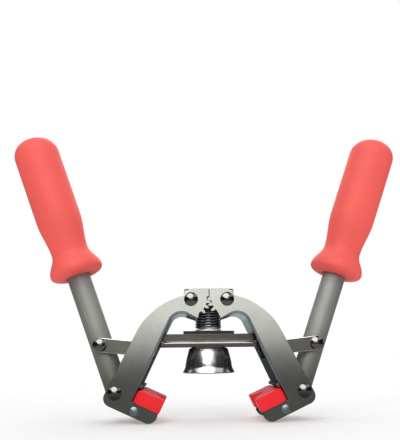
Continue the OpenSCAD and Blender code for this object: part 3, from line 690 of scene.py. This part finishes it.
def buildWorld(v):
    world = bpy.data.worlds.new("studioWorld")
    bpy.context.scene.world = world
    world.use_nodes = True
    t = world.node_tree
    path = t.nodes.new("ShaderNodeLightPath")
    mirrored = mathNode(t, "MAXIMUM", path.outputs["Is Glossy Ray"], path.outputs["Is Transmission Ray"])
    seen = mathNode(t, "MAXIMUM", path.outputs["Is Camera Ray"], mirrored)
    wire(t, remap(t, seen, 0, 1, v["light"], v["seen"]), t.nodes["Background"].inputs["Strength"])
    t.nodes["Background"].inputs["Color"].default_value = (1, 1, 1, 1)


def stageObject(mesh, mat):
    mesh.materials.append(mat)
    obj = bpy.data.objects.new(mesh.name, mesh)
    bpy.context.collection.objects.link(obj)
    return obj


def fromMiddle(t):
    length = t.nodes.new("ShaderNodeVectorMath")
    length.operation = "LENGTH"
    wire(t, t.nodes.new("ShaderNodeTexCoord").outputs["Object"], length.inputs[0])
    return length.outputs["Value"]


# floor: the paper takes shadows round the tool and glows white further out
floorPaper = {"colour": (0.9, 0.9, 0.9), "roughness": 0.9, "shine": 0.1, "glowFrom": (0.1, 0.45),
              "glowTo": (0.25, 1.0), "height": -0.0004, "rings": (0, 0.3, 4.0), "around": 64}


def buildFloor(v):
    mat, t, bsdf = newFinish("floorPaper")
    bsdf.inputs["Base Color"].default_value = (*v["colour"], 1)
    bsdf.inputs["Roughness"].default_value = v["roughness"]
    bsdf.inputs["Specular IOR Level"].default_value = v["shine"]
    glow = t.nodes.new("ShaderNodeEmission")
    mix = t.nodes.new("ShaderNodeMixShader")
    wire(t, remap(t, fromMiddle(t), *v["glowFrom"], *v["glowTo"]), mix.inputs[0])
    wire(t, bsdf.outputs[0], mix.inputs[1])
    wire(t, glow.outputs[0], mix.inputs[2])
    wire(t, mix.outputs[0], t.nodes["Material Output"].inputs["Surface"])
    profile = np.array([(r, v["height"]) for r in v["rings"]])
    stageObject(revolve("studioFloor", profile, np.zeros(3), (0, 0, 1), v["around"]), mat)


def glowFinish(name, strength):
    mat, t, _ = newFinish(name)
    glow = t.nodes.new("ShaderNodeEmission")
    glow.inputs["Strength"].default_value = strength
    wire(t, glow.outputs[0], t.nodes["Material Output"].inputs["Surface"])
    return mat, t, glow


# fromFront is the level direction at an angle from the front, going round by the right: (sin, -cos, 0)
def fromFront(angle):
    return np.stack([np.sin(angle), -np.cos(angle), 0 * angle], -1)


# flags: a cloth on the floor, dark in front and lighter behind, with a low sill at its edge,
# curved cards round the sides, a dark canopy overhead and a bright card high in front and behind
flags = {
    "near": 0.42, "far": 0.035, "nearTo": 0.16, "farFrom": 0.42, "behind": (0.42, 0.44, 0.445),
    "height": -0.0002, "rings": (0.001, 0.1), "reach": 1.6, "sill": 0.07, "spread": 105, "clothSteps": 48,
    "cardRadius": 1.2, "cardSteps": 24, "canopyFrom": 58, "canopySteps": 8, "canopyAround": 64,
    "cards": [{"from": 32, "to": 160, "low": 0, "high": 0.75},
              {"from": 15, "to": 32, "low": 0.13, "high": 0.42},
              {"from": 160, "to": 180, "low": 0, "high": 0.3}],
    "gleams": [{"turn": -15, "rise": 48, "far": 1.25, "size": 1.5, "strength": 4.2},
               {"turn": 165, "rise": 48, "far": 1.25, "size": 1.5, "strength": 1.6}],
    "gleamAround": 48,
}


def buildFlags(v):
    dark, t, glow = glowFinish("flagCloth", 1.0)
    tone = remap(t, fromMiddle(t), v["nearTo"], v["farFrom"], v["near"], v["far"])
    wire(t, greyColour(t, tone), glow.inputs["Color"])
    pale, _, paleGlow = glowFinish("paleCloth", 1.0)
    paleGlow.inputs["Color"].default_value = (*v["behind"], 1)
    up = np.array((0, 0, 1.0))
    pieces = []
    flat = [(r, v["height"]) for r in (*v["rings"], v["reach"])]
    edge = np.array([*flat, (v["reach"], v["sill"])])
    for mat, fromDeg, toDeg in ((dark, -v["spread"], v["spread"]), (pale, v["spread"], 360 - v["spread"])):
        fan = fromFront(np.radians(np.linspace(fromDeg, toDeg, v["clothSteps"])))
        points = edge[:, :1, None] * fan + edge[:, 1:, None] * up
        pieces.append(stageObject(gridSurface("flagOnFloor", points, wrapAcross=False), mat))
    for card in v["cards"]:
        angle = np.radians(np.linspace(card["from"], card["to"], v["cardSteps"]))
        for hand in (-1, 1):
            rim = fromFront(hand * angle) * v["cardRadius"]
            points = np.stack([rim + up * card["low"], rim + up * card["high"]])
            pieces.append(stageObject(gridSurface("flagBeside", points, wrapAcross=False), dark))
    canopy = arcPoints((0, 0), (v["reach"], v["reach"]), v["canopyFrom"], 90, v["canopySteps"])
    pieces.append(stageObject(revolve("flagAbove", canopy, np.zeros(3), up, v["canopyAround"]), dark))
    for card in v["gleams"]:
        turn, rise = math.radians(card["turn"]), math.radians(card["rise"])
        aim = fromFront(turn) * math.cos(rise) + up * math.sin(rise)
        disc = np.array([(0, 0), (card["size"] / 2, 0)])
        lit = glowFinish("gleamCard", card["strength"])[0]
        gleam = revolve("gleamCard", disc, aim * card["far"], aim, v["gleamAround"])
        pieces.append(stageObject(gleam, lit))
    for obj in pieces:
        obj.visible_camera = obj.visible_diffuse = obj.visible_shadow = obj.visible_transmission = False


# lamps: soft discs that the metal does not mirror
lamps = {
    "keyLamp": {"at": (-0.5, -0.9, 0.9), "aim": (0, 0, 0.08), "size": 0.7, "watts": 5},
    "fillLamp": {"at": (0.8, -0.7, 0.5), "aim": (0, 0, 0.08), "size": 0.8, "watts": 2.5},
    "topLamp": {"at": (0, 0.15, 1.2), "aim": (0, 0, 0.08), "size": 0.9, "watts": 4},
    "backLamp": {"at": (0.1, 0.9, 0.7), "aim": (0, 0, 0.1), "size": 0.8, "watts": 3},
}


def hangLamps(lamps):
    for name, v in lamps.items():
        data = bpy.data.lights.new(name, "AREA")
        data.shape, data.size, data.energy = "DISK", v["size"], v["watts"]
        lamp = bpy.data.objects.new(name, data)
        bpy.context.collection.objects.link(lamp)
        lamp.location = v["at"]
        lamp.rotation_euler = (Vector(v["aim"]) - Vector(v["at"])).to_track_quat("-Z", "Y").to_euler()
        lamp.visible_glossy = False


buildWorld(surround)
buildFloor(floorPaper)
buildFlags(flags)
hangLamps(lamps)
print("studio built")
